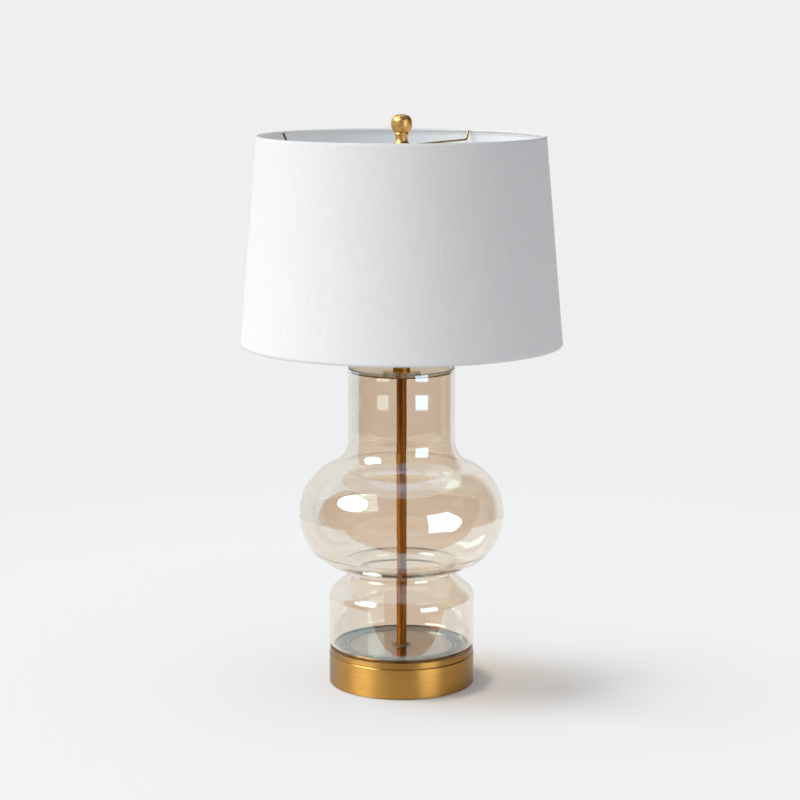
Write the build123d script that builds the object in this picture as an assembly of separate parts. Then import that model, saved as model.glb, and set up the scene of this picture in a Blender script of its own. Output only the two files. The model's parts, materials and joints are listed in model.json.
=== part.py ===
from build123d import *

import math
import os

# Table lamp: weighted brass base, blown glass body on a brass stem, harp and tapered fabric shade.
# Millimetres, +Z up, -Y is the front. The origin is the centre of the face that rests on the table.

# ---- driving dimensions -------------------------------------------------------------------------

# base
base_r = 93.0
base_h = 39.1
base_wall = 2.0
base_top = 2.5
base_edge = 1.2
base_lift = 0.8
felt_r = base_r - 2.6
felt_t = 3.0
weight_r = base_r - 6.0
weight_t = 10.0
weight_boss_r = 14.0
weight_recess_r = 12.5
weight_recess_t = 8.0
cord_channel_w = 9.0
inlet_z = 12.0
inlet_bore_r = 3.2
inlet_body_r = 5.0
inlet_flange_r = 6.8
inlet_flange_t = 1.6

# collar that the glass stands in
collar_r = base_r - 1.1
collar_h = 7.4
collar_lip_r = 88.3
collar_floor_t = 2.0
collar_dish = 3.0
collar_boss_r = 18.0

# glass body, outer surface, from the mouth down
glass_wall = 3.2
neck_r = 67.8
glass_h = 364.8
rim_round = 1.2
neck_flare_r = 35.0
bulb_r = 130.8
bulb_up = 177.7
bulb_top_r = 67.8
bulb_top_turn = 57.3
bulb_shoulder_r = 45.0
bulb_low_r = 78.3
bulb_low_turn = 38.0
bulb_under_r = 54.1
waist_r = 65.7
waist_round = 7.1
foot_r = 92.8
foot_h = 67.6
foot_top_round = 15.6
foot_low_round = 12.0
foot_ring_r = 68.7
foot_ring_slope = 2.0
foot_ring_t = 1.0
glass_hole_r = 5.6
seat_gasket_t = 0.8
seat_gasket_outer = 79.0
seat_gasket_inner = 70.5

# threaded lamp pipe and what is clamped on it
pipe_r = 4.8
pipe_bore_r = 3.3
pipe_low_z = 3.6
pipe_into_socket = 7.0
nut_flats = 15.9
nut_t = 4.0
lock_washer_r = 7.8
lock_washer_t = 1.4
flat_washer_r = 11.5
flat_washer_t = 1.2
glass_washer_r = 13.0
stem_r = 6.35
stem_wall = 1.1
stem_pad_r = 7.6
stem_pad_t = 0.8

# disc in the glass mouth
disc_recess = 3.2
disc_t = 2.5
disc_edge_gap = 2.0
disc_nut_r = 11.0
disc_nut_t = 3.5

# harp and its saddle
saddle_half = 23.6
saddle_w = 12.0
saddle_t = 1.8
saddle_tab_w = 5.0
saddle_tab_h = 15.0
harp_h = 279.4
harp_wire_r = 1.6
harp_half = 57.0
harp_leg_top = 36.0
harp_widen_top = 120.0
harp_shoulder_drop = 26.0
harp_top_half = 24.0
harp_bends = (30.0, 40.0, 24.0, 18.0)
sleeve_h = 23.0
sleeve_wall = 0.5
sleeve_depth = 7.0
sleeve_lift = 1.8
block_r = 6.5
block_h = 10.4
block_under_wire = 1.2
stud_r = 3.1
stud_up = 9.5
stud_down = 4.6
thread_gap = 0.3

# lamp socket and its turn switch
socket_hub_r = 7.0
socket_hub_h = 6.8
socket_cap_r = 16.6
socket_cap_h = 21.8
socket_cap_wall = 0.8
socket_flare = 6.0
socket_shell_low = 14.0
socket_h = 64.0
socket_shell_wall = 0.5
sleeve_paper_t = 0.5
socket_body_r = 13.9
socket_body_low = 13.2
socket_body_h = 24.0
socket_flat_half = 11.0
terminal_r = 2.6
terminal_t = 2.0
terminal_h = 20.0
screw_shell_in = 13.35
screw_shell_wall = 0.45
socket_contact_r = 4.0
socket_contact_t = 2.2
set_screw_r = 1.5
switch_h = 29.8
switch_shaft_r = 2.2
switch_shaft_in = 8.0
switch_shaft_out = 38.0
switch_hole_r = 4.0
knob_r = 6.4
knob_tip_r = 5.6
knob_len = 14.0
knob_start = 26.0
knob_flutes = 12
knob_flute_r = 0.7

# light bulb, medium screw base
bulb_cap_r = 13.0
bulb_cap_wall = 0.5
bulb_cap_h = 22.0
bulb_contact_h = 3.4
bulb_contact_r = 4.8
bulb_total_h = 108.0
bulb_globe_r = 30.0
bulb_globe_wall = 1.2
bulb_housing_top_r = 27.0
bulb_seat_gap = 0.3

# shade
shade_bottom_r = 203.2
shade_top_r = 180.5
shade_h = 260.8
spider_recess = 11.7
fabric_t = 0.6
liner_t = 0.8
liner_short = 0.6
ring_wire_r = 1.4
hem_t = 0.5
hem_tail = 8.0
spider_wire_r = 1.4
spider_arms = 4
spider_start_angle = 60.0
spider_lean = 5.0
spider_bend = 4.0
spider_washer_r = 10.5
spider_washer_t = 1.5
spider_washer_gap = 0.4
arm_notch_gap = 0.5

# finial
finial_foot_r = 9.4
finial_foot_h = 0.9
finial_waist_r = 7.2
finial_waist_h = 7.2
finial_bead_r = 8.8
finial_bead_round = 0.8
finial_bead_low = 9.8
finial_bead_top = 13.9
finial_knob_seat_r = 8.2
finial_knob_r = 13.1
finial_knob_h = 22.5
finial_squareness = 2.65
insert_r = 5.2
insert_h = 12.0

# clearances
press_gap = 0.04
turn_gap = 0.08
loose_gap = 0.3

# ---- heights that follow from them --------------------------------------------------------------

collar_top_z = base_h + collar_h
dish_z = collar_top_z - collar_dish
glass_z = dish_z + seat_gasket_t
glass_floor_z = glass_z + glass_wall
foot_top_z = glass_z + foot_h
bulb_z = glass_z + bulb_up
rim_z = glass_z + glass_h
disc_top_z = rim_z - disc_recess
disc_low_z = disc_top_z - disc_t
disc_r = neck_r - glass_wall - disc_edge_gap
saddle_z = disc_top_z + disc_nut_t
socket_z = saddle_z + saddle_t
stem_low_z = glass_floor_z + stem_pad_t
washer_z = saddle_z + harp_h
block_z = washer_z - block_h
harp_wire_z = block_z + block_under_wire + harp_wire_r
harp_leg_x = saddle_half - saddle_t - loose_gap - harp_wire_r
spider_z = washer_z - spider_wire_r
finial_z = washer_z + spider_washer_t
switch_z = socket_z + switch_h
socket_shell_r = socket_cap_r - socket_cap_wall - press_gap
bulb_z_low = socket_z + socket_body_low + socket_body_h + socket_contact_t + bulb_seat_gap
bulb_cap_z = bulb_z_low + bulb_contact_h - 1
bulb_globe_z = bulb_z_low + bulb_total_h - bulb_globe_r
bulb_seam_z = bulb_globe_z - math.sqrt(bulb_globe_r**2 - bulb_housing_top_r**2)
shade_top_z = washer_z + spider_recess
shade_bottom_z = shade_top_z - shade_h

up_from_floor = (Align.CENTER, Align.CENTER, Align.MIN)


# ---- helpers ------------------------------------------------------------------------------------


def disc(radius, low, high):
    """A cylinder about the lamp's axis between two heights."""
    return Pos(0, 0, low) * Cylinder(radius, high - low, align=up_from_floor)


def tube(outer, inner, low, high):
    """A ring about the lamp's axis between two heights."""
    return disc(outer, low, high) - disc(inner, low - 1, high + 1)


def turned(edges):
    """The solid that a closed outline of radius and height sweeps about the lamp's axis."""
    return revolve(Plane.XZ * make_face(edges), Axis.Z)


def turned_points(points):
    """As turned, for an outline of straight lines."""
    return turned(Polyline(*points, close=True).edges())


def wire_along(path, radius):
    """Round wire along a path in the XZ plane."""
    start = Plane(origin=path @ 0, z_dir=path % 0)
    return sweep(start * Circle(radius), path=path)


def polar(centre, radius, angle):
    """The point at an angle, in degrees, on a circle of the outline plane."""
    turn = math.radians(angle)
    return (centre[0] + radius * math.cos(turn), centre[1] + radius * math.sin(turn))


def bearing(start, end):
    """The angle, in degrees, of the line from one point to another."""
    return math.degrees(math.atan2(end[1] - start[1], end[0] - start[0]))


# ---- base ---------------------------------------------------------------------------------------


def make_felt_pad():
    return disc(felt_r, 0, felt_t)


def make_base_weight():
    boss_top = base_h - base_top
    body = disc(weight_r, felt_t, felt_t + weight_t)
    boss = disc(weight_boss_r, felt_t, boss_top)
    recess = disc(weight_recess_r, felt_t - 1, felt_t + weight_recess_t)
    hole = disc(pipe_r + loose_gap, 0, boss_top + 1)
    channel_h = inlet_z + inlet_body_r + loose_gap - felt_t
    channel_size = (cord_channel_w, weight_r, channel_h + 1)
    channel = Pos(0, weight_r / 2 + weight_recess_r / 2, felt_t - 1) * Box(
        *channel_size, align=up_from_floor
    )
    return body + boss - recess - hole - channel


def make_base_shell():
    outside = disc(base_r, base_lift, base_h)
    outside = fillet(outside.edges().sort_by(Axis.Z)[-1], base_edge)
    inside = disc(base_r - base_wall, base_lift - 1, base_h - base_top)
    hole = disc(pipe_r + loose_gap, base_h - base_top - 1, base_h + 1)
    inlet = Pos(0, base_r, inlet_z) * Rot(90, 0, 0) * Cylinder(inlet_body_r + press_gap, 4 * base_wall)
    return outside - inside - hole - inlet


def make_cord_bushing():
    """Flanged plastic bushing in the back wall, its bore along Y."""
    body_len = base_wall + 2 * inlet_flange_t
    body = Cylinder(inlet_body_r, body_len, align=up_from_floor)
    flange = Cylinder(inlet_flange_r, inlet_flange_t, align=up_from_floor)
    outer_face = base_r + inlet_flange_t
    bushing = Pos(0, outer_face, inlet_z) * Rot(90, 0, 0) * (body + flange)
    skin = disc(base_r + press_gap, 0, base_h) - disc(inlet_body_r, 0, 1)
    wall = skin - disc(base_r - base_wall, -1, base_h + 1)
    around = wall - Pos(0, base_r, inlet_z) * Rot(90, 0, 0) * Cylinder(inlet_body_r, 8 * base_wall)
    bore = Pos(0, base_r, inlet_z) * Rot(90, 0, 0) * Cylinder(inlet_bore_r, 8 * base_wall)
    return bushing - around - bore


def make_base_collar():
    """Spun plate with an upstanding lip that the rounded bottom of the glass sits inside."""
    outline = [
        (pipe_r + loose_gap, base_h),
        (collar_boss_r, base_h),
        (collar_boss_r, dish_z - collar_floor_t),
        (collar_lip_r, dish_z - collar_floor_t),
        (collar_lip_r, base_h),
        (collar_r, base_h),
        (collar_r, collar_top_z),
        (collar_lip_r, collar_top_z),
        (collar_lip_r, dish_z),
        (pipe_r + loose_gap, dish_z),
    ]
    return turned_points(outline)


# ---- pipe, stem and fasteners -------------------------------------------------------------------


def make_lamp_pipe():
    return tube(pipe_r, pipe_bore_r, pipe_low_z, socket_z + pipe_into_socket)


def make_bottom_fasteners():
    """Flat washer, lock washer and hex nut, stacked down from the roof of the weight's recess."""
    roof = felt_t + weight_recess_t
    bore = pipe_r + press_gap
    flat = tube(flat_washer_r, bore, roof - flat_washer_t, roof)
    lock_top = roof - flat_washer_t
    lock = tube(lock_washer_r, bore, lock_top - lock_washer_t, lock_top)
    gap_cut = Pos(lock_washer_r / 2 + bore / 2, 0, lock_top - lock_washer_t / 2)
    lock -= gap_cut * Box(lock_washer_r, 0.8, 2 * lock_washer_t)
    nut_top = lock_top - lock_washer_t
    hexagon = extrude(RegularPolygon(nut_flats / 2, 6, major_radius=False), nut_t)
    nut = Pos(0, 0, nut_top - nut_t) * hexagon - disc(bore, 0, nut_top + 1)
    return flat, lock, nut


def make_stem_tube():
    return tube(stem_r, stem_r - stem_wall, stem_low_z, disc_low_z)


# ---- glass body ---------------------------------------------------------------------------------


def glass_surface(inset):
    """Outline of the glass from mouth to floor, a given depth inside its outer surface.

    Every stretch is an arc or line tangent to the next, so an inset only changes the radii.
    """
    top = (bulb_r - bulb_top_r, bulb_z)
    shoulder = polar(top, -(bulb_shoulder_r - bulb_top_r), bulb_top_turn)
    flare_reach = bulb_shoulder_r + neck_flare_r
    flare_x = neck_r + neck_flare_r
    flare = (flare_x, shoulder[1] + math.sqrt(flare_reach**2 - (flare_x - shoulder[0]) ** 2))
    flare_turn = bearing(shoulder, flare)

    low = (bulb_r - bulb_low_r, bulb_z)
    under = polar(low, bulb_low_r - bulb_under_r, -bulb_low_turn)
    waist_reach = bulb_under_r + waist_round
    waist_x = waist_r + waist_round
    waist = (waist_x, under[1] - math.sqrt(waist_reach**2 - (waist_x - under[0]) ** 2))
    waist_turn = bearing(under, waist)

    corner = (foot_r - foot_top_round, foot_top_z)
    span = math.dist(waist, corner)
    slope = bearing(waist, corner) + math.degrees(math.asin((waist_round + foot_top_round) / span))
    square = slope + 90

    low_corner = (foot_r - foot_low_round, glass_z + foot_low_round)
    wall_x = foot_r - inset
    floor = glass_z + inset
    return [
        Line((neck_r - inset, rim_z), (neck_r - inset, flare[1])),
        CenterArc(flare, neck_flare_r + inset, 180, flare_turn),
        CenterArc(shoulder, bulb_shoulder_r - inset, flare_turn, bulb_top_turn - flare_turn),
        CenterArc(top, bulb_top_r - inset, bulb_top_turn, -bulb_top_turn),
        CenterArc(low, bulb_low_r - inset, 0, -bulb_low_turn),
        CenterArc(under, bulb_under_r - inset, -bulb_low_turn, waist_turn + bulb_low_turn),
        CenterArc(waist, waist_round + inset, waist_turn + 180, square - waist_turn),
        Line(
            polar(waist, -(waist_round + inset), square),
            polar(corner, foot_top_round - inset, square),
        ),
        CenterArc(corner, foot_top_round - inset, square, -square),
        Line((wall_x, foot_top_z), (wall_x, low_corner[1])),
        CenterArc(low_corner, foot_low_round - inset, 0, -90),
        Line((low_corner[0], floor), (0, floor)),
    ]


def glass_solid(inset):
    """The full round body inside that outline, closed straight across the mouth."""
    closing = [
        Line((0, glass_z + inset), (0, rim_z)),
        Line((0, rim_z), (neck_r - inset, rim_z)),
    ]
    return turned(glass_surface(inset) + closing)


def make_glass_body():
    body = glass_solid(0) - glass_solid(glass_wall)
    mouth = body.edges().filter_by(GeomType.CIRCLE).group_by(Axis.Z)[-1]
    body = fillet(mouth, rim_round)
    kick = Pos(0, 0, glass_z) * Cone(
        foot_ring_r, foot_ring_r - foot_ring_slope, foot_ring_t, align=up_from_floor
    )
    return body - kick - disc(glass_hole_r, glass_z - 1, glass_floor_z + 1)


def make_seat_gasket():
    return tube(seat_gasket_outer, seat_gasket_inner, dish_z, glass_z)


def make_glass_washer():
    """Soft washer under the middle of the glass floor."""
    return tube(glass_washer_r, pipe_r + press_gap, dish_z, glass_z + foot_ring_t)


def make_stem_pad():
    return tube(stem_pad_r, pipe_r + loose_gap, glass_floor_z, stem_low_z)


# ---- disc in the mouth --------------------------------------------------------------------------


def make_neck_disc():
    plate = disc(disc_r, disc_low_z, disc_top_z)
    plate = fillet(plate.edges().filter_by(GeomType.CIRCLE), disc_t / 4)
    return plate - disc(pipe_r + press_gap, disc_low_z - 1, disc_top_z + 1)


def make_neck_gasket():
    """Clear ring that fills the gap between the disc and the glass."""
    inset = disc_t / 4
    inner = disc_r + press_gap
    outer = neck_r - glass_wall - press_gap
    return tube(outer, inner, disc_low_z + inset, disc_top_z - inset)


def make_disc_nut():
    nut = disc(disc_nut_r, disc_top_z, saddle_z)
    nut = fillet(nut.edges().filter_by(GeomType.CIRCLE), disc_nut_t / 6)
    return nut - disc(pipe_r + press_gap, disc_top_z - 1, saddle_z + 1)


# ---- harp ---------------------------------------------------------------------------------------


def make_harp_saddle():
    plate = Pos(0, 0, saddle_z) * Box(2 * saddle_half, saddle_w, saddle_t, align=up_from_floor)
    saddle = plate - disc(pipe_r + press_gap, saddle_z - 1, socket_z + 1)
    tab_height = saddle_t + saddle_tab_h
    for side in (-1, 1):
        place = Pos(side * (saddle_half - saddle_t / 2), 0, saddle_z)
        tab = place * Box(saddle_t, saddle_tab_w, tab_height, align=up_from_floor)
        saddle += tab
    return saddle


def harp_path():
    """Centre line of the harp wire, from the left foot over the top to the right foot."""
    right = [
        (harp_leg_x, socket_z),
        (harp_leg_x, socket_z + harp_leg_top),
        (harp_half, socket_z + harp_widen_top),
        (harp_half, harp_wire_z - harp_shoulder_drop),
        (harp_top_half, harp_wire_z),
    ]
    left = [(-x, z) for x, z in reversed(right)]
    first, second, third, fourth = harp_bends
    radii = [first, second, third, fourth, fourth, third, second, first]
    points = [(x, 0, z) for x, z in right + left]
    return FilletPolyline(*points, radius=radii)


def make_harp_wire():
    return wire_along(harp_path(), harp_wire_r)


def make_harp_sleeve(side):
    """Flat-sided ferrule that slides down over the harp's foot and the saddle's tab."""
    inner_low = harp_leg_x - harp_wire_r - loose_gap
    inner_high = saddle_half + loose_gap
    middle = side * (inner_low + inner_high) / 2
    inner_w = inner_high - inner_low
    hollow = RectangleRounded(inner_w, sleeve_depth, inner_w / 4)
    outer = offset(hollow, sleeve_wall, kind=Kind.ARC)
    low = socket_z + sleeve_lift
    return Pos(middle, 0, low) * extrude(outer - hollow, sleeve_h)


def make_harp_block():
    """Small turned block crimped on the top of the harp, bored for the stud and for the wire."""
    block = disc(block_r, block_z, washer_z)
    run = Pos(0, 0, harp_wire_z) * Rot(0, 90, 0) * Cylinder(harp_wire_r + press_gap, 4 * block_r)
    pin_hole = disc(stud_r + turn_gap, washer_z - stud_down - turn_gap, washer_z + 1)
    return block - run - pin_hole


def make_harp_stud():
    stud = disc(stud_r, washer_z - stud_down, washer_z + stud_up)
    return chamfer(stud.edges().group_by(Axis.Z)[-1], stud_r / 5)


# ---- socket -------------------------------------------------------------------------------------


def make_socket_cap():
    inner_r = socket_cap_r - socket_cap_wall
    bore = pipe_r + press_gap
    hub_top = socket_z + socket_hub_h
    flare_top = hub_top + socket_flare
    top = socket_z + socket_cap_h
    outline = [
        (bore, socket_z),
        (socket_hub_r, socket_z),
        (socket_hub_r, hub_top - socket_cap_wall),
        (socket_cap_r, flare_top - socket_cap_wall),
        (socket_cap_r, top),
        (inner_r, top),
        (inner_r, flare_top),
        (socket_hub_r, hub_top),
        (bore, hub_top),
    ]
    cap = turned_points(outline)
    screw_hole = Pos(0, socket_hub_r, socket_z + socket_hub_h / 2) * Rot(90, 0, 0)
    return cap - screw_hole * Cylinder(set_screw_r + press_gap, 2 * (socket_hub_r - pipe_r))


def make_set_screw():
    length = socket_hub_r - pipe_r
    place = Pos(0, pipe_r + press_gap, socket_z + socket_hub_h / 2) * Rot(-90, 0, 0)
    return place * Cylinder(set_screw_r, length, align=up_from_floor)


def switch_bore(radius):
    """A hole for the switch shaft, from the socket's axis out to the front."""
    place = Pos(0, 0, switch_z) * Rot(90, 0, 0)
    return place * Cylinder(radius, 2 * socket_cap_r, align=up_from_floor)


def make_socket_shell():
    low = socket_z + socket_shell_low
    shell = tube(socket_shell_r, socket_shell_r - socket_shell_wall, low, socket_z + socket_h)
    return shell - switch_bore(switch_hole_r)


def make_socket_paper():
    """Insulating sleeve inside the shell."""
    outer = socket_shell_r - socket_shell_wall - press_gap
    low = socket_z + socket_shell_low + 1
    paper = tube(outer, outer - sleeve_paper_t, low, socket_z + socket_h - 1)
    return paper - switch_bore(switch_hole_r)


def make_socket_body():
    low = socket_z + socket_body_low
    high = low + socket_body_h
    body = disc(socket_body_r, low, high)
    flat_h = socket_body_h * 0.6
    for side in (-1, 1):
        place = Pos(side * (socket_flat_half + socket_body_r), 0, low)
        body -= place * Box(2 * socket_body_r, 4 * socket_body_r, flat_h, align=up_from_floor)
    return body - switch_bore(switch_shaft_r + turn_gap)


def make_terminals():
    screws = []
    for side in (-1, 1):
        place = Pos(side * socket_flat_half, 0, socket_z + terminal_h) * Rot(0, side * 90, 0)
        screws.append(place * Cylinder(terminal_r, terminal_t, align=up_from_floor))
    return Compound(children=screws)


def make_screw_shell():
    low = socket_z + socket_body_low + socket_body_h
    return tube(screw_shell_in + screw_shell_wall, screw_shell_in, low, socket_z + socket_h - 2)


def make_socket_contact():
    low = socket_z + socket_body_low + socket_body_h
    button = disc(socket_contact_r, low, low + socket_contact_t)
    return fillet(button.edges().group_by(Axis.Z)[-1], socket_contact_t / 4)


def make_switch_shaft():
    place = Pos(0, -switch_shaft_in, switch_z) * Rot(90, 0, 0)
    length = switch_shaft_out - switch_shaft_in
    return place * Cylinder(switch_shaft_r, length, align=up_from_floor)


def make_switch_knob():
    """Tapered fluted knob pressed on the end of the shaft."""
    knob = Cone(knob_r, knob_tip_r, knob_len, align=up_from_floor)
    knob = fillet(knob.edges().group_by(Axis.Z)[-1], knob_tip_r / 4)
    for index in range(knob_flutes):
        angle = 360 * index / knob_flutes
        flute = Rot(0, 0, angle) * Pos(knob_r, 0, 0) * Cylinder(knob_flute_r, 3 * knob_len)
        knob -= flute
    depth = switch_shaft_out - knob_start + press_gap
    knob -= Cylinder(switch_shaft_r + press_gap, depth, align=up_from_floor)
    return Pos(0, -knob_start, switch_z) * Rot(90, 0, 0) * knob


# ---- bulb ---------------------------------------------------------------------------------------


def make_bulb_contact():
    """Insulator and centre contact under the screw cap."""
    top_r = bulb_cap_r - bulb_cap_wall - loose_gap
    return Pos(0, 0, bulb_z_low) * Cone(
        bulb_contact_r, top_r, bulb_contact_h, align=up_from_floor
    )


def make_bulb_cap():
    return tube(bulb_cap_r, bulb_cap_r - bulb_cap_wall, bulb_cap_z, bulb_cap_z + bulb_cap_h)


def make_bulb_housing():
    low = bulb_cap_z + bulb_cap_h
    plug_r = bulb_cap_r - bulb_cap_wall - press_gap
    outline = [
        (0, low - bulb_cap_h / 2),
        (plug_r, low - bulb_cap_h / 2),
        (plug_r, low),
        (bulb_cap_r, low),
        (bulb_housing_top_r, bulb_seam_z),
        (0, bulb_seam_z),
    ]
    return turned_points(outline)


def make_bulb_globe():
    """Hollow dome: a ball cut off level with the top of the housing."""
    skin = Sphere(bulb_globe_r) - Sphere(bulb_globe_r - bulb_globe_wall)
    ball = Pos(0, 0, bulb_globe_z) * skin
    return ball - disc(2 * bulb_globe_r, bulb_seam_z - 2 * bulb_globe_r, bulb_seam_z)


# ---- shade --------------------------------------------------------------------------------------


def shade_radius(height):
    """Radius of the shade's outer face at a height."""
    share = (height - shade_bottom_z) / shade_h
    return shade_bottom_r + share * (shade_top_r - shade_bottom_r)


def shade_skin(depth, thickness, low, high):
    """A tapered wall that starts a given depth inside the shade's outer face."""
    low_r = shade_radius(low) - depth
    high_r = shade_radius(high) - depth
    return turned_points(
        [(low_r, low), (high_r, high), (high_r - thickness, high), (low_r - thickness, low)]
    )


def make_shade_fabric():
    return shade_skin(0, fabric_t, shade_bottom_z, shade_top_z)


def make_shade_liner():
    low = shade_bottom_z + liner_short
    return shade_skin(fabric_t, liner_t, low, shade_top_z - liner_short)


def ring_height(edge_z, inward):
    """Height of a ring's centre inside the edge at edge_z; inward is +1 at the bottom, -1 on top."""
    return edge_z + inward * (hem_t + press_gap + ring_wire_r)


def ring_radius(edge_z, inward):
    skin = fabric_t + liner_t + press_gap
    return shade_radius(ring_height(edge_z, inward)) - skin - ring_wire_r


def make_shade_ring(edge_z, inward):
    place = Pos(0, 0, ring_height(edge_z, inward))
    return place * Torus(ring_radius(edge_z, inward), ring_wire_r)


def make_shade_hem(edge_z, inward):
    """Fabric turned in over the edge, round the ring and back to the liner."""
    ring_z = ring_height(edge_z, inward)
    band = ring_radius(edge_z, inward) - ring_wire_r - press_gap
    skin = fabric_t + liner_t + press_gap
    past_ring = ring_z + inward * (ring_wire_r + hem_t)
    tail_z = edge_z + inward * (2 * ring_wire_r + hem_tail)
    liner_tail_z = tail_z - inward * 2 * hem_t
    narrow_z = max(edge_z, edge_z + inward * hem_t)
    edge_r = shade_radius(narrow_z) - fabric_t - press_gap
    return turned_points(
        [
            (edge_r, edge_z),
            (band - hem_t, edge_z),
            (band - hem_t, past_ring),
            (shade_radius(tail_z) - skin, tail_z),
            (shade_radius(liner_tail_z) - skin, liner_tail_z),
            (band, past_ring - inward * hem_t / 2),
            (band, edge_z + inward * hem_t),
            (edge_r, edge_z + inward * hem_t),
        ]
    )


def spider_angle(index):
    return spider_start_angle + 360 * index / spider_arms


def make_spider_arm(index):
    """Wire from beside the top ring, down and in, then level to the washer."""
    ring_z = ring_height(shade_top_z, -1)
    outer_x = ring_radius(shade_top_z, -1) - ring_wire_r - spider_wire_r - press_gap
    inner_x = block_r + 3 * loose_gap
    path = FilletPolyline(
        (outer_x, 0, ring_z),
        (outer_x - spider_lean, 0, spider_z),
        (inner_x, 0, spider_z),
        radius=spider_bend,
    )
    return Rot(0, 0, spider_angle(index)) * wire_along(path, spider_wire_r)


def make_top_hem():
    """The top hem, notched where the spider's arms pass through it."""
    hem = make_shade_hem(shade_top_z, -1)
    ring_z = ring_height(shade_top_z, -1)
    notch_w = 2 * (spider_wire_r + arm_notch_gap)
    notch_h = hem_tail + 3 * ring_wire_r
    notch_len = 4 * (spider_wire_r + ring_wire_r)
    for index in range(spider_arms):
        place = Rot(0, 0, spider_angle(index))
        place *= Pos(ring_radius(shade_top_z, -1) - notch_len / 2, 0, ring_z - notch_h)
        hem -= place * Box(notch_len, notch_w, notch_h + ring_wire_r / 2, align=up_from_floor)
    return hem


def make_spider_washer():
    return tube(spider_washer_r, stud_r + spider_washer_gap, washer_z, finial_z)


# ---- finial -------------------------------------------------------------------------------------


def knob_curve(count=11):
    """Outline of the finial's ball: a superellipse from its seat on the bead to its crown."""
    power = 2 / finial_squareness
    start = -math.acos((finial_knob_seat_r / finial_knob_r) ** (1 / power))
    half_h = finial_knob_h / (1 + math.sin(-start) ** power)
    middle = finial_z + finial_bead_top + finial_knob_h - half_h
    points = []
    for index in range(count - 1):
        turn = start + (math.pi / 2 - start) * index / (count - 1)
        rise = math.sin(turn)
        height = math.copysign(abs(rise) ** power, rise)
        points.append((finial_knob_r * math.cos(turn) ** power, middle + half_h * height))
    points.append((0, middle + half_h))
    return Spline(*points)


def make_finial_knob():
    foot_top = finial_z + finial_foot_h
    waist = finial_z + finial_waist_h
    bead_low = finial_z + finial_bead_low
    bead_top = finial_z + finial_bead_top
    bead_side = finial_bead_r - finial_bead_round
    edges = [
        Line((0, finial_z), (finial_foot_r, finial_z)),
        Line((finial_foot_r, finial_z), (finial_foot_r, foot_top)),
        Spline(
            (finial_foot_r, foot_top),
            (finial_waist_r, waist),
            tangents=[(-1, 1), (0, 1)],
        ),
        Line((finial_waist_r, waist), (bead_side, bead_low)),
        ThreePointArc(
            (bead_side, bead_low),
            (finial_bead_r, (bead_low + bead_top) / 2),
            (bead_side, bead_top),
        ),
        Line((bead_side, bead_top), (finial_knob_seat_r, bead_top)),
        knob_curve(),
        Line((0, bead_top + finial_knob_h), (0, finial_z)),
    ]
    bore = disc(insert_r + turn_gap, finial_z - 1, finial_z + insert_h + turn_gap)
    return turned(edges) - bore


def make_finial_insert():
    """Threaded bush in the finial's foot, open below for the harp's stud."""
    bush = disc(insert_r, finial_z, finial_z + insert_h)
    return bush - disc(stud_r + thread_gap, finial_z - 1, finial_z + insert_h - 2)


# ---- the lamp -----------------------------------------------------------------------------------


def make_lamp():
    flat_washer, lock_washer, pipe_nut = make_bottom_fasteners()
    nodes = {
        "felt_pad": make_felt_pad(),
        "base_weight": make_base_weight(),
        "base_shell": make_base_shell(),
        "cord_bushing": make_cord_bushing(),
        "base_collar": make_base_collar(),
        "pipe_washer": flat_washer,
        "lock_washer": lock_washer,
        "pipe_nut": pipe_nut,
        "lamp_pipe": make_lamp_pipe(),
        "stem_tube": make_stem_tube(),
        "seat_gasket": make_seat_gasket(),
        "glass_washer": make_glass_washer(),
        "glass_body": make_glass_body(),
        "stem_pad": make_stem_pad(),
        "neck_disc": make_neck_disc(),
        "neck_gasket": make_neck_gasket(),
        "disc_nut": make_disc_nut(),
        "harp_saddle": make_harp_saddle(),
        "harp_wire": make_harp_wire(),
        "harp_sleeve_left": make_harp_sleeve(-1),
        "harp_sleeve_right": make_harp_sleeve(1),
        "harp_block": make_harp_block(),
        "harp_stud": make_harp_stud(),
        "socket_cap": make_socket_cap(),
        "socket_set_screw": make_set_screw(),
        "socket_shell": make_socket_shell(),
        "socket_paper": make_socket_paper(),
        "socket_body": make_socket_body(),
        "socket_terminals": make_terminals(),
        "socket_screw_shell": make_screw_shell(),
        "socket_contact": make_socket_contact(),
        "switch_shaft": make_switch_shaft(),
        "switch_knob": make_switch_knob(),
        "bulb_contact": make_bulb_contact(),
        "bulb_cap": make_bulb_cap(),
        "bulb_housing": make_bulb_housing(),
        "bulb_globe": make_bulb_globe(),
        "shade_fabric": make_shade_fabric(),
        "shade_liner": make_shade_liner(),
        "shade_top_ring": make_shade_ring(shade_top_z, -1),
        "shade_bottom_ring": make_shade_ring(shade_bottom_z, 1),
        "shade_top_hem": make_top_hem(),
        "shade_bottom_hem": make_shade_hem(shade_bottom_z, 1),
        "spider_washer": make_spider_washer(),
        "finial_insert": make_finial_insert(),
        "finial_knob": make_finial_knob(),
    }
    for index in range(spider_arms):
        nodes[f"spider_arm_{index + 1}"] = make_spider_arm(index)
    return nodes


os.makedirs("parts", exist_ok=True)
for name, shape in make_lamp().items():
    export_step(shape, f"parts/{name}.step")
    print(f"{name}: {shape.volume / 1000:.2f} cm3")
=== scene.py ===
import json
import math

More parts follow.
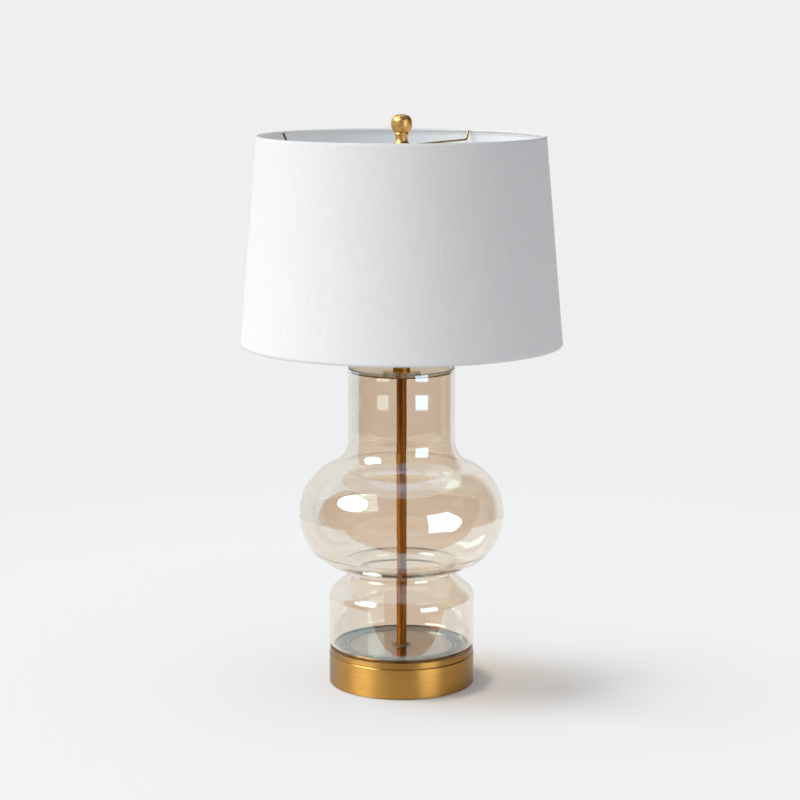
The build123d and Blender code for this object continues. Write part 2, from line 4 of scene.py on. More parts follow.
import bpy
import numpy as np
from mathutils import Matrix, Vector


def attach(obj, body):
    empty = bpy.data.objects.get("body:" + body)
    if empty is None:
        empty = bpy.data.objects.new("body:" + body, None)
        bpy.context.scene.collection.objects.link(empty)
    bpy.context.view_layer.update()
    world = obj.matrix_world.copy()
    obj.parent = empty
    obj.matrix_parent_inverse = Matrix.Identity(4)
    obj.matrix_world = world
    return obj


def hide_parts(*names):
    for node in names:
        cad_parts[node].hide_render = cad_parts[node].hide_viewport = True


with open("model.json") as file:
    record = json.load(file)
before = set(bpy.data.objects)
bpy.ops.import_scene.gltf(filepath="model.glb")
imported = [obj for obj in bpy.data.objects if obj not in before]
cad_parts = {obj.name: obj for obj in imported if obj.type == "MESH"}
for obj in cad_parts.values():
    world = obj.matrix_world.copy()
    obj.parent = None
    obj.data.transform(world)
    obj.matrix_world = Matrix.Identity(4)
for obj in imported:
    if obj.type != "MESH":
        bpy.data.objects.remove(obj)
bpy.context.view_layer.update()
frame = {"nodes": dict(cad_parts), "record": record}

nodes = frame["nodes"]
print("frame loaded:", len(nodes), "nodes")


# small helpers for node trees

def addNode(tree, kind, **settings):
    made = tree.nodes.new(kind)
    for key, value in settings.items():
        setattr(made, key, value)
    return made


def feed(tree, socket, value):
    if isinstance(value, bpy.types.NodeSocket):
        tree.links.new(value, socket)
    else:
        socket.default_value = value


def mathOf(tree, operation, first, second=0.0, third=0.0):
    made = addNode(tree, "ShaderNodeMath", operation=operation)
    for socket, value in zip(made.inputs, (first, second, third)):
        feed(tree, socket, value)
    return made.outputs[0]


def times(tree, first, second):
    return mathOf(tree, "MULTIPLY", first, second)


# one minus the share
def inverse(tree, share):
    return mathOf(tree, "SUBTRACT", 1.0, share)


# square root of x squared plus y squared
def distanceOf(tree, x, y):
    return mathOf(tree, "SQRT", mathOf(tree, "ADD", times(tree, x, x), times(tree, y, y)))


# eases from start to end while the value runs from low to high
def fade(tree, value, low, high, start=0.0, end=1.0):
    made = addNode(tree, "ShaderNodeMapRange", interpolation_type="SMOOTHSTEP", clamp=True)
    names = ("Value", "From Min", "From Max", "To Min", "To Max")
    for name, number in zip(names, (value, low, high, start, end)):
        feed(tree, made.inputs[name], number)
    return made.outputs["Result"]


# one from low to high, easing to nought over the soft width
def between(tree, value, low, high, soft):
    rising = fade(tree, value, low - soft, low + soft)
    falling = fade(tree, value, high - soft, high + soft, 1.0, 0.0)
    return times(tree, rising, falling)


def blendColour(tree, share, first, second):
    made = addNode(tree, "ShaderNodeMix", data_type="RGBA")
    feed(tree, made.inputs["Factor"], share)
    feed(tree, made.inputs["A"], first)
    feed(tree, made.inputs["B"], second)
    return made.outputs["Result"]


def noiseOf(tree, vector, scale, detail=2.0, roughness=0.5):
    made = addNode(tree, "ShaderNodeTexNoise")
    feed(tree, made.inputs["Vector"], vector)
    feed(tree, made.inputs["Scale"], scale)
    feed(tree, made.inputs["Detail"], detail)
    feed(tree, made.inputs["Roughness"], roughness)
    return made.outputs["Fac"]


def joinVector(tree, x, y, z):
    made = addNode(tree, "ShaderNodeCombineXYZ")
    for socket, value in zip(made.inputs, (x, y, z)):
        feed(tree, socket, value)
    return made.outputs[0]


def splitVector(tree, vector):
    made = addNode(tree, "ShaderNodeSeparateXYZ")
    feed(tree, made.inputs[0], vector)
    return made.outputs


def objectPlace(tree):
    return addNode(tree, "ShaderNodeTexCoord").outputs["Object"]


def newGroup(name, inputs, outputs):
    group = bpy.data.node_groups.new(name, "ShaderNodeTree")
    for label, kind, value in inputs:
        made = group.interface.new_socket(label, in_out="INPUT", socket_type=kind)
        if value is not None:
            made.default_value = value
    for label, kind in outputs:
        group.interface.new_socket(label, in_out="OUTPUT", socket_type=kind)
    return group, addNode(group, "NodeGroupInput").outputs, addNode(group, "NodeGroupOutput").inputs


def newMaterial(name, **values):
    made = bpy.data.materials.new(name)
    made.use_nodes = True
    tree = made.node_tree
    tree.nodes.clear()
    shader = addNode(tree, "ShaderNodeBsdfPrincipled")
    output = addNode(tree, "ShaderNodeOutputMaterial")
    tree.links.new(shader.outputs[0], output.inputs["Surface"])
    for key, value in values.items():
        shader.inputs[key.replace("_", " ")].default_value = value
    return made, tree, shader, output


def useGroup(tree, group, **values):
    made = addNode(tree, "ShaderNodeGroup", node_tree=group)
    for key, value in values.items():
        feed(tree, made.inputs[key], value)
    return made.outputs


def bumpFrom(tree, shader, height, distance, strength=1.0):
    made = addNode(tree, "ShaderNodeBump")
    made.inputs["Strength"].default_value = strength
    made.inputs["Distance"].default_value = distance
    tree.links.new(height, made.inputs["Height"])
    tree.links.new(made.outputs[0], shader.inputs["Normal"])


def mixShaders(tree, share, first, second, output):
    made = addNode(tree, "ShaderNodeMixShader")
    for socket, value in zip(made.inputs, (share, first, second)):
        tree.links.new(value, socket)
    tree.links.new(made.outputs[0], output.inputs["Surface"])


# camera

view = {"at": (-0.0020, -2.8445, 0.8496), "tilt": 80.36, "lens": 102.32, "sensor": 36.0, "far": 40.0}
cameraData = bpy.data.cameras.new("camera")
cameraData.lens = view["lens"]
cameraData.sensor_width = view["sensor"]
cameraData.clip_end = view["far"]
camera = bpy.data.objects.new("camera", cameraData)
camera.location = view["at"]
camera.rotation_euler = (math.radians(view["tilt"]), 0.0, 0.0)
bpy.context.scene.collection.objects.link(camera)
bpy.context.scene.camera = camera
bpy.context.scene.view_settings.view_transform = "Standard"
print("camera set")


# studio: what the glass and brass reflect, by direction round the lamp, in degrees

studio = {
    "paper": (0.863, 0.863, 0.863, 1.0),
    "dark": (0.020, 0.017, 0.015, 1.0),
    "darkLeft": -106.0, "darkRight": 121.0, "darkSoft": 0.8,
    "darkTop": 80.0, "darkTopDrop": 36.0, "darkTopWidth": 120.0, "darkTopSoft": 1.5,
    "card": (0.72, 0.86, 1.05, 1.0),
    "cardRight": (0.08, 0.09, 0.10, 1.0), "cardTurn": (0.15, 0.45),
    "paperAhead": (0.55, 0.80), "paperThrough": (0.50, 0.75),
    "fill": 0.46, "fillTone": (0.985, 1.0, 1.02),
    "leftWindow": (-69.0, 37.0, 21.0, 14.0),  # middle, then half sizes
    "leftSquareness": 2.4, "leftSoft": 0.03, "leftPower": 16.5, "leftTone": (1.0, 1.0, 1.0),
    "rightWindow": (30.0, 59.0, -9.9, 24.5), "rightSoft": (0.4, 0.05),
    "rightBar": (-9.52, -9.18), "barSoft": 0.02,
    "rightPower": 3.1, "rightTone": (0.94, 0.98, 1.08),
}

world = bpy.data.worlds.new("studio")
world.use_nodes = True
world.cycles.sampling_method = "NONE"
bpy.context.scene.world = world
tree = world.node_tree
tree.nodes.clear()
x, y, z = splitVector(tree, addNode(tree, "ShaderNodeTexCoord").outputs["Generated"])
degree = 180.0 / math.pi
azimuth = times(tree, mathOf(tree, "ARCTAN2", x, times(tree, y, -1.0)), degree)
elevation = times(tree, mathOf(tree, "ARCSINE", z), degree)

# the dark room's top edge drops by the square of the azimuth
across = mathOf(tree, "DIVIDE", azimuth, studio["darkTopWidth"])
topEdge = mathOf(tree, "MULTIPLY_ADD", times(tree, across, across), -studio["darkTopDrop"], studio["darkTop"])
overTop = mathOf(tree, "SUBTRACT", elevation, topEdge)
underTop = fade(tree, overTop, -studio["darkTopSoft"], studio["darkTopSoft"], 1.0, 0.0)
darkSides = between(tree, azimuth, studio["darkLeft"], studio["darkRight"], studio["darkSoft"])
darkShare = times(tree, darkSides, underTop)

# how nearly a ray runs on along the camera's line: one is straight on
lean = math.radians(view["tilt"] - 90.0)
straight = mathOf(tree, "MULTIPLY_ADD", z, math.sin(lean), times(tree, y, math.cos(lean)))
cards = blendColour(tree, fade(tree, x, *studio["cardTurn"]), studio["card"], studio["cardRight"])
whites = blendColour(tree, fade(tree, straight, *studio["paperAhead"]), cards, studio["paper"])
seen = blendColour(tree, darkShare, whites, studio["dark"])


# distance from the middle in half sizes, raised to the power
def offMiddle(tree, value, middle, half, power):
    off = mathOf(tree, "DIVIDE", mathOf(tree, "SUBTRACT", value, middle), half)
    return mathOf(tree, "POWER", mathOf(tree, "ABSOLUTE", off), power)


azMiddle, elMiddle, azHalf, elHalf = studio["leftWindow"]
azOff = offMiddle(tree, azimuth, azMiddle, azHalf, studio["leftSquareness"])
elOff = offMiddle(tree, elevation, elMiddle, elHalf, studio["leftSquareness"])
leftSum = mathOf(tree, "ADD", azOff, elOff)
leftMask = fade(tree, leftSum, 1.0 - studio["leftSoft"], 1.0 + studio["leftSoft"], 1.0, 0.0)

lowAz, highAz, lowEl, highEl = studio["rightWindow"]
azSoft, elSoft = studio["rightSoft"]
rightSides = between(tree, azimuth, lowAz, highAz, azSoft)
rightMask = times(tree, rightSides, between(tree, elevation, lowEl, highEl, elSoft))
barMask = between(tree, elevation, *studio["rightBar"], studio["barSoft"])
rightMask = times(tree, rightMask, inverse(tree, barMask))


def toned(tone, power):
    return tuple(power * part for part in tone) + (1.0,)


seen = blendColour(tree, leftMask, seen, toned(studio["leftTone"], studio["leftPower"]))
seen = blendColour(tree, rightMask, seen, toned(studio["rightTone"], studio["rightPower"]))

# looked through from the sides and back, the glass shows paper; after a matt bounce all is even white
path = addNode(tree, "ShaderNodeLightPath").outputs
unmirrored = inverse(tree, mathOf(tree, "MINIMUM", path["Glossy Depth"], 1.0))
aside = fade(tree, straight, *studio["paperThrough"], 1.0, 0.0)
through = times(tree, times(tree, path["Is Transmission Ray"], unmirrored), aside)
seen = blendColour(tree, through, seen, studio["paper"])
bounced = mathOf(tree, "MINIMUM", path["Diffuse Depth"], 1.0)
seen = blendColour(tree, bounced, seen, toned(studio["fillTone"], studio["fill"]))
seen = blendColour(tree, path["Is Camera Ray"], seen, studio["paper"])
background = addNode(tree, "ShaderNodeBackground")
tree.links.new(seen, background.inputs["Color"])
tree.links.new(background.outputs[0], addNode(tree, "ShaderNodeOutputWorld").inputs["Surface"])

# table top: white paper that fades into the backdrop; mirrors see it end short of the lamp's front
table = {
    "half": 3.0, "fadeFrom": 0.75, "fadeTo": 1.5,
    "paper": (0.95, 0.95, 0.95, 1.0), "mirrored": (1.0, 1.0, 1.0, 1.0), "rough": 0.9,
    "front": -0.28, "frontSlope": 0.16, "frontSoft": 0.002,
}
half = table["half"]
floorMesh = bpy.data.meshes.new("floor")
floorCorners = [(-half, -half, 0), (half, -half, 0), (half, half, 0), (-half, half, 0)]
floorMesh.from_pydata(floorCorners, [], [(0, 1, 2, 3)])
floor = bpy.data.objects.new("floor", floorMesh)
bpy.context.scene.collection.objects.link(floor)
floorMaterial, tree, shader, output = newMaterial(
    "paperSweep", Roughness=table["rough"], Specular_IOR_Level=0.0
)
x, y, z = splitVector(tree, objectPlace(tree))
near = fade(tree, distanceOf(tree, x, y), table["fadeFrom"], table["fadeTo"], 1.0, 0.0)
path = addNode(tree, "ShaderNodeLightPath").outputs
frontEdge = mathOf(tree, "MULTIPLY_ADD", x, table["frontSlope"], table["front"])
onTable = fade(tree, mathOf(tree, "SUBTRACT", y, frontEdge), -table["frontSoft"], table["frontSoft"])
mirrorRay = mathOf(tree, "MAXIMUM", path["Is Glossy Ray"], path["Is Transmission Ray"])
tree.links.new(blendColour(tree, mirrorRay, table["paper"], table["mirrored"]), shader.inputs["Base Color"])
kept = inverse(tree, times(tree, mirrorRay, inverse(tree, onTable)))
clear = addNode(tree, "ShaderNodeBsdfTransparent")
mixShaders(tree, times(tree, near, kept), clear.outputs[0], shader.outputs[0], output)
floorMesh.materials.append(floorMaterial)

# suns: azimuth, elevation, spread, power and tone, and what each one lights
suns = {
    "key": (-68.0, 34.0, 50.0, 2.05, (1.0, 0.99, 0.98), "lamp"),
    "floorBack": (-105.0, 62.0, 20.0, 1.22, (1.0, 1.0, 1.0), "floor"),
    "floorFront": (-80.0, 58.0, 16.0, 0.52, (1.0, 1.0, 1.0), "floor"),
}
shadeless = bpy.data.collections.new("shadeless")  # the floor's suns pass the shade, filled in below
receivers = {}
for onto, state in (("floor", "INCLUDE"), ("lamp", "EXCLUDE")):
    receivers[onto] = bpy.data.collections.new(onto + "Light")
    receivers[onto].objects.link(floor)
    receivers[onto].collection_objects[0].light_linking.link_state = state


def addSun(name, azimuth, elevation, spread, power, tone, onto):
    data = bpy.data.lights.new(name, "SUN")
    data.energy = power
    data.angle = math.radians(spread)
    data.color = tone
    lamp = bpy.data.objects.new(name, data)
    az, el = math.radians(azimuth), math.radians(elevation)
    towards = Vector((math.sin(az) * math.cos(el), -math.cos(az) * math.cos(el), math.sin(el)))
    lamp.rotation_euler = towards.to_track_quat("Z", "Y").to_euler()
    lamp.visible_glossy = False
    lamp.visible_transmission = False
    lamp.visible_camera = False
    bpy.context.scene.collection.objects.link(lamp)
    lamp.light_linking.receiver_collection = receivers[onto]
    if onto == "floor":
        lamp.light_linking.blocker_collection = shadeless


for name, values in suns.items():
    addSun(name, *values)
print("studio set")


# shared grain and weave

# grain of metal turned on a lathe: noise stretched round the axis
grain, given, made = newGroup(
    "turnedGrain",
    [("Vector", "NodeSocketVector", None), ("Fineness", "NodeSocketFloat", 2600.0)],
    [("Height", "NodeSocketFloat"), ("Tone", "NodeSocketFloat")],
)
x, y, z = splitVector(grain, given["Vector"])
around = mathOf(grain, "ARCTAN2", y, x)
along = mathOf(grain, "ADD", distanceOf(grain, x, y), z)
finePlace = joinVector(grain, times(grain, around, 1.6), times(grain, along, given["Fineness"]), 0.0)
fine = noiseOf(grain, finePlace, 1.0, 3.0, 0.6)
broadPlace = joinVector(grain, times(grain, around, 0.9), times(grain, along, 160.0), 3.0)
broad = noiseOf(grain, broadPlace, 1.0)
grain.links.new(fine, made["Height"])
grain.links.new(mathOf(grain, "MULTIPLY_ADD", fine, 0.5, times(grain, broad, 0.5)), made["Tone"])

# cloudy tone and fine specks of a handled or moulded surface
handled, given, made = newGroup(
    "handledMetal",
    [("Vector", "NodeSocketVector", None), ("Scale", "NodeSocketFloat", 60.0)],
    [("Height", "NodeSocketFloat"), ("Tone", "NodeSocketFloat")],
)
handled.links.new(noiseOf(handled, given["Vector"], times(handled, given["Scale"], 30.0)), made["Height"])
handled.links.new(noiseOf(handled, given["Vector"], given["Scale"], 4.0, 0.55), made["Tone"])

# plain weave: warp times weft, each a sine of its own direction that wanders, with slubs along the threads
linen, given, made = newGroup(
    "linenWeave",
    [("Vector", "NodeSocketVector", None), ("Threads", "NodeSocketFloat", 1500.0)],
    [("Height", "NodeSocketFloat"), ("Tone", "NodeSocketFloat")],
)
u, v, w = splitVector(linen, given["Vector"])


def stretchedNoise(tree, first, firstScale, second, secondScale, layer, detail=2.0, roughness=0.5):
    place = joinVector(tree, times(tree, first, firstScale), times(tree, second, secondScale), layer)
    return noiseOf(tree, place, 1.0, detail, roughness)


def threadWave(tree, place, wander, threads):
    moved = mathOf(tree, "ADD", place, times(tree, wander, 0.0016))
    return mathOf(tree, "SINE", times(tree, moved, times(tree, threads, math.pi)))


warp = threadWave(linen, u, stretchedNoise(linen, u, 320.0, v, 26.0, 0.0), given["Threads"])
weft = threadWave(linen, v, stretchedNoise(linen, u, 26.0, v, 320.0, 5.0), given["Threads"])
slubUp = stretchedNoise(linen, u, 1500.0, v, 22.0, 0.0, 3.0, 0.6)
slubAcross = stretchedNoise(linen, u, 30.0, v, 1300.0, 9.0)
slubs = mathOf(linen, "ADD", times(linen, slubUp, 0.72), times(linen, slubAcross, 0.28))
linen.links.new(mathOf(linen, "ADD", times(linen, times(linen, warp, weft), 0.16), slubs), made["Height"])
linen.links.new(slubs, made["Tone"])


# metals: light and dark tone, roughness from and to, bump depth in metres, and a painted shade as the tone at
# a low angle

metals = {
    "satin_brass": {
        "name": "satinBrass", "light": (0.68, 0.38, 0.095, 1), "dark": (0.56, 0.295, 0.068, 1),
        "rough": (0.34, 0.42), "fineness": 2600.0, "bump": 0.00002, "stretch": 0.8,
        "edge": (0.30, 0.16, 0.07, 1),
    },
    # collar: a darker copy of the satin brass, painted shade on the band; its well edge is a painted
    # reflection
    "collar": {
        "name": "shadedCollarBrass", "light": (0.60, 0.33, 0.085, 1), "dark": (0.48, 0.25, 0.06, 1),
        "rough": (0.34, 0.42), "fineness": 2600.0, "bump": 0.00002, "stretch": 0.8,
        "edge": (0.27, 0.14, 0.06, 1),
        "well": {"radius": 0.086, "soft": 0.001, "edge": (0.78, 0.80, 0.80, 1)},
    },
    "dark_brass": {
        "name": "darkBrass", "light": (0.96, 0.42, 0.055, 1), "dark": (0.82, 0.33, 0.04, 1),
        "rough": (0.50, 0.58), "fineness": 900.0, "bump": 0.00001, "stretch": 0.7,
        "edge": (0.16, 0.07, 0.02, 1),
    },
    "finial": {
        "name": "finialBrass", "light": (0.92, 0.54, 0.18, 1), "dark": (0.80, 0.43, 0.12, 1),
        "rough": (0.40, 0.48), "fineness": 2600.0, "bump": 0.00001, "edge": (0.62, 0.34, 0.12, 1),
    },
    "spider": {
        "name": "spiderBrass", "light": (0.42, 0.25, 0.09, 1), "dark": (0.30, 0.17, 0.06, 1),
        "rough": (0.25, 0.35), "bump": 0.000008,
    },
    "polished_brass": {
        "name": "polishedBrass", "light": (0.80, 0.56, 0.24, 1), "dark": (0.66, 0.42, 0.15, 1),
        "rough": (0.12, 0.24), "bump": 0.000008,
    },
    "zinc_steel": {
        "name": "zincSteel", "light": (0.66, 0.67, 0.69, 1), "dark": (0.50, 0.51, 0.53, 1),
        "rough": (0.25, 0.40), "bump": 0.00001,
    },
    "aluminium": {
        "name": "aluminiumShell", "light": (0.82, 0.82, 0.83, 1), "dark": (0.68, 0.68, 0.70, 1),
        "rough": (0.20, 0.32), "fineness": 3200.0, "bump": 0.00002,
    },
}


def metal(name, light, dark, rough, bump, fineness=None, stretch=0.0, edge=None, well=None):
    made, tree, shader, output = newMaterial(
        name, Metallic=1.0, Anisotropic=stretch, Anisotropic_Rotation=0.25
    )
    place = objectPlace(tree)
    if fineness:  # turned on a lathe
        group = useGroup(tree, grain, Vector=place, Fineness=fineness)
    else:
        group = useGroup(tree, handled, Vector=place)
    colour = blendColour(tree, fade(tree, group["Tone"], 0.3, 0.7), dark, light)
    if well:  # painted reflection: inside the radius, the disc under the glass is painted light at a low angle
        x, y, z = splitVector(tree, place)
        outside = fade(tree, distanceOf(tree, x, y), well["radius"], well["radius"] + well["soft"])
        edge = blendColour(tree, outside, well["edge"], edge)
    # painted shade: the base colour turns to the edge tone where the surface turns away from the view
    if edge:
        facing = addNode(tree, "ShaderNodeLayerWeight")
        facing.inputs["Blend"].default_value = 0.5
        colour = blendColour(tree, fade(tree, facing.outputs["Facing"], 0.25, 0.85), colour, edge)
    tree.links.new(colour, shader.inputs["Base Color"])
    tree.links.new(fade(tree, group["Tone"], 0.25, 0.75, *rough), shader.inputs["Roughness"])
    bumpFrom(tree, shader, group["Height"], bump)
    return made


# plastics, paper, iron and wire: light and dark tone, roughness from and to, size of the clouds, bump depth

plains = {
    "cast_iron": {
        "name": "castIron", "light": (0.05, 0.05, 0.05, 1), "dark": (0.03, 0.03, 0.03, 1),
        "rough": (0.55, 0.75), "scale": 120.0, "bump": 0.0002,
    },
    "brown_plastic": {
        "name": "brownPlastic", "light": (0.07, 0.04, 0.025, 1), "dark": (0.05, 0.028, 0.018, 1),
        "rough": (0.28, 0.40), "scale": 90.0,
    },
    "brown_paper": {
        "name": "vulcanisedPaper", "light": (0.42, 0.29, 0.16, 1), "dark": (0.33, 0.22, 0.12, 1),
        "rough": (0.60, 0.80), "scale": 200.0, "bump": 0.00005,
    },
    "black_phenolic": {
        "name": "blackPhenolic", "light": (0.03, 0.03, 0.03, 1), "dark": (0.02, 0.02, 0.02, 1),
        "rough": (0.35, 0.50), "scale": 150.0,
    },
    "white_plastic": {
        "name": "whitePlastic", "light": (0.86, 0.86, 0.85, 1), "dark": (0.82, 0.82, 0.81, 1),
        "rough": (0.30, 0.42), "scale": 60.0,
    },
    "frosted_glass": {
        "name": "opalGlobe", "light": (0.90, 0.90, 0.89, 1), "dark": (0.86, 0.86, 0.85, 1),
        "rough": (0.38, 0.50), "scale": 70.0,
    },
    "white_styrene": {
        "name": "whiteStyrene", "light": (0.90, 0.945, 0.965, 1), "dark": (0.88, 0.925, 0.945, 1),
        "rough": (0.42, 0.55), "scale": 30.0,
    },
    "white_wire": {
        "name": "whiteWire", "light": (0.84, 0.84, 0.83, 1), "dark": (0.80, 0.80, 0.79, 1),
        "rough": (0.30, 0.40), "scale": 80.0,
    },
    "clear_vinyl": {
        "name": "clearVinyl", "light": (0.84, 0.85, 0.85, 1), "dark": (0.80, 0.81, 0.81, 1),
        "rough": (0.25, 0.35), "scale": 80.0,
        "own": {"Transmission_Weight": 0.6, "IOR": 1.5},
    },
}


def plain(name, light, dark, rough, scale, bump=0.00002, own=None):
    made, tree, shader, output = newMaterial(name, **(own or {}))
    group = useGroup(tree, handled, Vector=objectPlace(tree), Scale=scale)
    colour = blendColour(tree, fade(tree, group["Tone"], 0.3, 0.7), dark, light)
    tree.links.new(colour, shader.inputs["Base Color"])
    tree.links.new(fade(tree, group["Tone"], 0.3, 0.7, *rough), shader.inputs["Roughness"])
    bumpFrom(tree, shader, group["Height"], bump)
    return made


finishes = {}
for slot, values in metals.items():
    finishes[slot] = metal(**values)
for slot, values in plains.items():
    finishes[slot] = plain(**values)

# glass: tinted and strongly mirroring, and clear to shadow rays so that the light goes through
glass = {
    "body": (0.92, 0.87, 0.78, 1.0), "ior": 2.0,
    "sheen": (0.58, 0.98, 1.2, 1.0), "shadow": (0.93, 0.89, 0.84, 1.0),
}
finishes["champagne_glass"], tree, shader, output = newMaterial(
    "champagneGlass", Base_Color=glass["body"], Roughness=0.0, IOR=glass["ior"],
    Transmission_Weight=1.0, Specular_Tint=glass["sheen"],
)
clear = addNode(tree, "ShaderNodeBsdfTransparent")
clear.inputs["Color"].default_value = glass["shadow"]
shadowRay = addNode(tree, "ShaderNodeLightPath").outputs["Is Shadow Ray"]
mixShaders(tree, shadowRay, shader.outputs[0], clear.outputs[0], output)

linenLook = {
    "threads": 1500.0, "low": (0.865, 0.87, 0.885, 1), "high": (0.94, 0.94, 0.945, 1),
    "rough": 0.88, "specular": 0.25, "bump": 0.00045, "bumpShare": 0.8,
}
fabric, tree, shader, output = newMaterial(
    "whiteLinen", Roughness=linenLook["rough"], Specular_IOR_Level=linenLook["specular"]
)
sheetPlace = addNode(tree, "ShaderNodeUVMap", uv_map="UVMap").outputs[0]
group = useGroup(tree, linen, Vector=sheetPlace, Threads=linenLook["threads"])
colour = blendColour(tree, fade(tree, group["Tone"], 0.32, 0.68), linenLook["low"], linenLook["high"])
tree.links.new(colour, shader.inputs["Base Color"])
bumpFrom(tree, shader, group["Height"], linenLook["bump"], linenLook["bumpShare"])

feltLook = {
    "low": (0.012, 0.012, 0.012, 1), "high": (0.035, 0.034, 0.033, 1),
    "rough": 0.95, "specular": 0.2, "scale": 300.0, "bump": 0.0003,
}
felt, tree, shader, output = newMaterial(
    "blackFelt", Roughness=feltLook["rough"], Specular_IOR_Level=feltLook["specular"]
)
group = useGroup(tree, handled, Vector=objectPlace(tree), Scale=feltLook["scale"])
colour = blendColour(tree, group["Tone"], feltLook["low"], feltLook["high"])
tree.links.new(colour, shader.inputs["Base Color"])
bumpFrom(tree, shader, group["Height"], feltLook["bump"])

slotOf = {row["node"]: row["material_slot"] for row in frame["record"]["subparts"]}
for name, cadNode in nodes.items():
    if slotOf[name] in finishes:
        cadNode.material_slots[0].material = finishes[slotOf[name]]
nodes["finial_knob"].material_slots[0].material = finishes["finial"]
nodes["base_collar"].material_slots[0].material = finishes["collar"]
for arm in range(1, 5):
    nodes["spider_arm_%d" % arm].material_slots[0].material = finishes["spider"]
print("finishes set")


# pieces made here: rows of points run along an outline, columns round the axis

def gridPiece(name, points, material, uv=None, closedAlong=False, capped=False):
    # each face joins a point, the next one round, and the two after them along
    rows, columns = points.shape[:2]
    index = np.arange(rows * columns).reshape(rows, columns)
    ring = np.concatenate([index, index[:, :1]], 1)
    if closedAlong:
        ring = np.concatenate([ring, ring[:1]], 0)
    quads = np.stack([ring[:-1, :-1], ring[:-1, 1:], ring[1:, 1:], ring[1:, :-1]], -1).reshape(-1, 4)
    corners, starts = quads.reshape(-1), np.arange(len(quads)) * 4
    if capped:
        corners = np.concatenate([corners, index[0, ::-1], index[-1]])
        starts = np.concatenate([starts, [quads.size, quads.size + columns]])
    mesh = bpy.data.meshes.new(name)
    mesh.vertices.add(rows * columns)
    mesh.vertices.foreach_set("co", points.reshape(-1).astype(np.float32))
    mesh.loops.add(len(corners))
    mesh.loops.foreach_set("vertex_index", corners.astype(np.int32))
    mesh.polygons.add(len(starts))
    mesh.polygons.foreach_set("loop_start", starts.astype(np.int32))
    mesh.update(calc_edges=True)
    mesh.polygons.foreach_set("use_smooth", np.ones(len(starts), bool))
    if uv is not None:  # the seam's last column runs on by one step
        wide = np.concatenate([uv, uv[:, :1]], 1)
        wide[:, -1, 0] = uv[:, -1, 0] + (uv[:, -1, 0] - uv[:, -2, 0])
        if closedAlong:
            wide = np.concatenate([wide, wide[:1]], 0)
        values = np.stack([wide[:-1, :-1], wide[:-1, 1:], wide[1:, 1:], wide[1:, :-1]], 2).reshape(-1, 2)
        mesh.uv_layers.new(name="UVMap").data.foreach_set("uv", values.reshape(-1).astype(np.float32))
    mesh.materials.append(material)
    mesh.validate()
    made = bpy.data.objects.new(name, mesh)
    bpy.context.scene.collection.objects.link(made)
    return made


# the path, then the path moved sideways by the depth and run backwards
def thicken(path, depth):
    step = np.gradient(path, axis=0)
    side = np.stack([-step[:, 1], step[:, 0]], 1) / np.linalg.norm(step, axis=1, keepdims=True)
    return np.concatenate([path, (path + side * depth)[::-1]])


# radius plus swell, times cosine and sine of the angle, at the outline's height
def turn(outline, angles, swell=0.0):
    radius = outline[:, :1] + swell
    height = np.broadcast_to(outline[:, 1:], radius.shape)
    return np.stack([radius * np.cos(angles), radius * np.sin(angles), height], -1)


# three times the square less twice the cube of the share between low and high
def smooth(value, low, high):
    share = np.clip((value - low) / (high - low), 0, 1)
    return share * share * (3 - 2 * share)


# a sum of sines round the piece, each with its own height and start
def waves(seed, counts, angles, size, least):
    draw = np.random.default_rng(seed)
    terms = (draw.uniform(least, 1) * np.sin(count * angles + draw.uniform(0, 6.28)) for count in counts)
    return sum(terms) * size


# shade cloth: one band laid round the liner, lapped at the back, its edges turned in over the rings
cloth = {
    "lowRadius": 0.2032, "topRadius": 0.1805, "low": 0.4397, "top": 0.7005, "thick": 0.0006,
    "rows": 44, "columns": 560,
    "lapAt": 99.0, "lapWidth": 0.012, "lapStep": 0.0004, "lapFade": 0.02, "lapEase": 0.0003,
    "turnIn": 0.0048, "turnInStep": 0.00010, "turnInEase": 0.0004,
    "waveCounts": (3, 5, 8, 13), "waveSize": 0.00010, "waveSeed": 4,
}
shadeRadii, shadeHeights = (cloth["lowRadius"], cloth["topRadius"]), (cloth["low"], cloth["top"])
tall = cloth["top"] - cloth["low"]

lapAngle = math.radians(cloth["lapAt"])
closeToLap = np.array([-0.0009, -0.0003, 0.0, 0.0003, 0.0009])
closeToTurnIn = np.array([-0.0008, -0.0003, 0.0003, 0.0008])
evenAngles = np.linspace(0, 2 * np.pi, cloth["columns"], endpoint=False)
angles = np.sort(np.concatenate([evenAngles, lapAngle + closeToLap / cloth["lowRadius"]]))
heights = np.unique(np.concatenate([
    np.linspace(cloth["low"], cloth["top"], cloth["rows"]),
    cloth["low"] + cloth["turnIn"] + closeToTurnIn,
    cloth["top"] - cloth["turnIn"] + closeToTurnIn,
]))
share = (heights - cloth["low"]) / tall
outer = np.stack([cloth["lowRadius"] + share * (cloth["topRadius"] - cloth["lowRadius"]), heights], 1)
inner = outer[::-1] - [cloth["thick"], 0]
outline = np.concatenate([outer, inner])

beyond = (angles - lapAngle) * cloth["lowRadius"]  # metres round the shade past the lap's edge
lapStart = smooth(beyond, -cloth["lapEase"], cloth["lapEase"])
lap = lapStart * (1 - smooth(beyond, cloth["lapWidth"], cloth["lapWidth"] + cloth["lapFade"]))
edgeIn = np.minimum(heights - cloth["low"], cloth["top"] - heights)
fold = 1 - smooth(edgeIn, cloth["turnIn"] - cloth["turnInEase"], cloth["turnIn"] + cloth["turnInEase"])
wander = waves(cloth["waveSeed"], cloth["waveCounts"], angles, cloth["waveSize"], 0.3)
outside = fold[:, None] * cloth["turnInStep"] + lap[None] * cloth["lapStep"] + wander[None]
swell = np.concatenate([outside, np.broadcast_to(wander[None], outside.shape)])
around = np.broadcast_to(angles[None] * cloth["lowRadius"], (len(outline), len(angles)))
upward = outline[:, 1:] + 0 * angles[None]
shadeUv = np.stack([around, upward], -1)
shadeCloth = gridPiece("shadeCloth", turn(outline, angles, swell), fabric, shadeUv, closedAlong=True)
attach(shadeCloth, "shade")
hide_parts("shade_fabric")

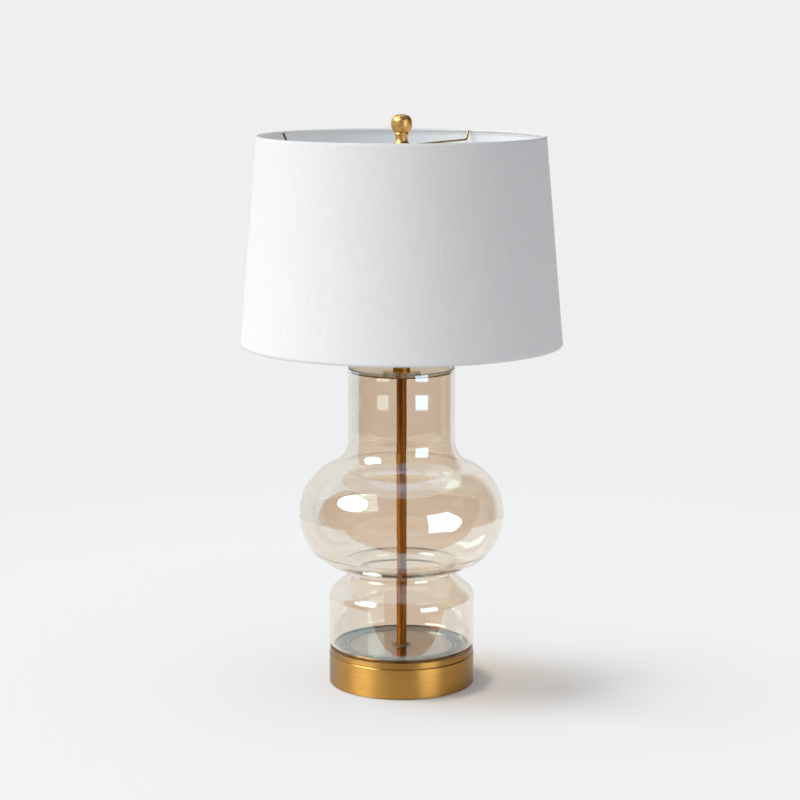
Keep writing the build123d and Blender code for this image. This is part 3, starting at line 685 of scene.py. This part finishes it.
# rolled hems: tape over each ring wire, its tail stuck down inside the liner
hem = {
    "ringOut": 0.0027, "roll": 0.0019, "thick": 0.0005, "tail": 0.0045, "tailFrom": 0.0042, "liner": 0.0014,
    "rollFrom": 10.0, "rollTo": 165.0, "rollSteps": 12, "tailSteps": 9, "lift": 1.2, "bendIn": 0.0002,
    "columns": 420, "waveCounts": (7, 17, 31, 53), "waveSize": 0.00005,
}


# the shade's outside, straight from the low edge to the top one
def radiusAt(height):
    return np.interp(height, shadeHeights, shadeRadii)


def makeHem(name, edge, inward, cadNode):
    # an arc round the ring wire, a bend, then a straight tail down the liner, turned round the axis
    middle = (radiusAt(edge) - hem["ringOut"], edge + inward * hem["roll"])
    swing = np.radians(np.linspace(hem["rollFrom"], hem["rollTo"], hem["rollSteps"]))
    reach = hem["roll"] - hem["thick"]
    roll = np.stack([middle[0] + reach * np.cos(swing), middle[1] - inward * reach * np.sin(swing)], 1)
    down = edge + inward * np.linspace(hem["tailFrom"], hem["roll"] + hem["tail"], hem["tailSteps"])
    tail = np.stack([radiusAt(down) - hem["liner"] - hem["thick"] * hem["lift"], down], 1)
    bend = (roll[-1] + tail[0]) / 2 - [hem["bendIn"], 0]
    outline = thicken(np.concatenate([roll, [bend], tail]), -inward * hem["thick"])
    angles = np.linspace(0, 2 * np.pi, hem["columns"], endpoint=False)
    wave = waves(len(name), hem["waveCounts"], angles, hem["waveSize"], 0.4)
    points = turn(outline, angles, wave[None] * np.ones((len(outline), 1)))
    around = np.broadcast_to(angles[None] * cloth["topRadius"], points.shape[:2])
    steps = np.linalg.norm(np.diff(outline, axis=0), axis=1)
    run = np.cumsum(np.concatenate([[0], steps]))[:, None] + 0 * angles[None]
    made = gridPiece(name, points, fabric, np.stack([around, run], -1), closedAlong=True)
    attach(made, "shade")
    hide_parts(cadNode)
    return made


hemTop = makeHem("hemTop", cloth["top"], -1, "shade_top_hem")
hemBottom = makeHem("hemBottom", cloth["low"], 1, "shade_bottom_hem")

# felt under the base: a flat disc with a rounded rim
pad = {"radius": 0.0904, "thick": 0.0030, "round": 0.0006, "rings": (0.02, 0.06), "columns": 240}
corner = np.radians(np.linspace(-90, 90, 9))
rimHeight = np.where(corner < 0, pad["round"], pad["thick"] - pad["round"]) + pad["round"] * np.sin(corner)
rim = np.stack([pad["radius"] - pad["round"] + pad["round"] * np.cos(corner), rimHeight], 1)
below = [[ring, 0.0] for ring in pad["rings"]]
above = [[ring, pad["thick"]] for ring in reversed(pad["rings"])]
outline = np.concatenate([below, rim, above])
angles = np.linspace(0, 2 * np.pi, pad["columns"], endpoint=False)
feltPad = gridPiece("feltPad", turn(outline, angles, np.zeros((1, len(angles)))), felt, capped=True)
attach(feltPad, "lamp_base")
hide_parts("felt_pad")
print("felt and hems made")

# the floor's suns pass these pieces
for piece in (shadeCloth, hemTop, hemBottom, nodes["shade_liner"]):
    shadeless.objects.link(piece)
for row in shadeless.collection_objects:
    row.light_linking.link_state = "EXCLUDE"
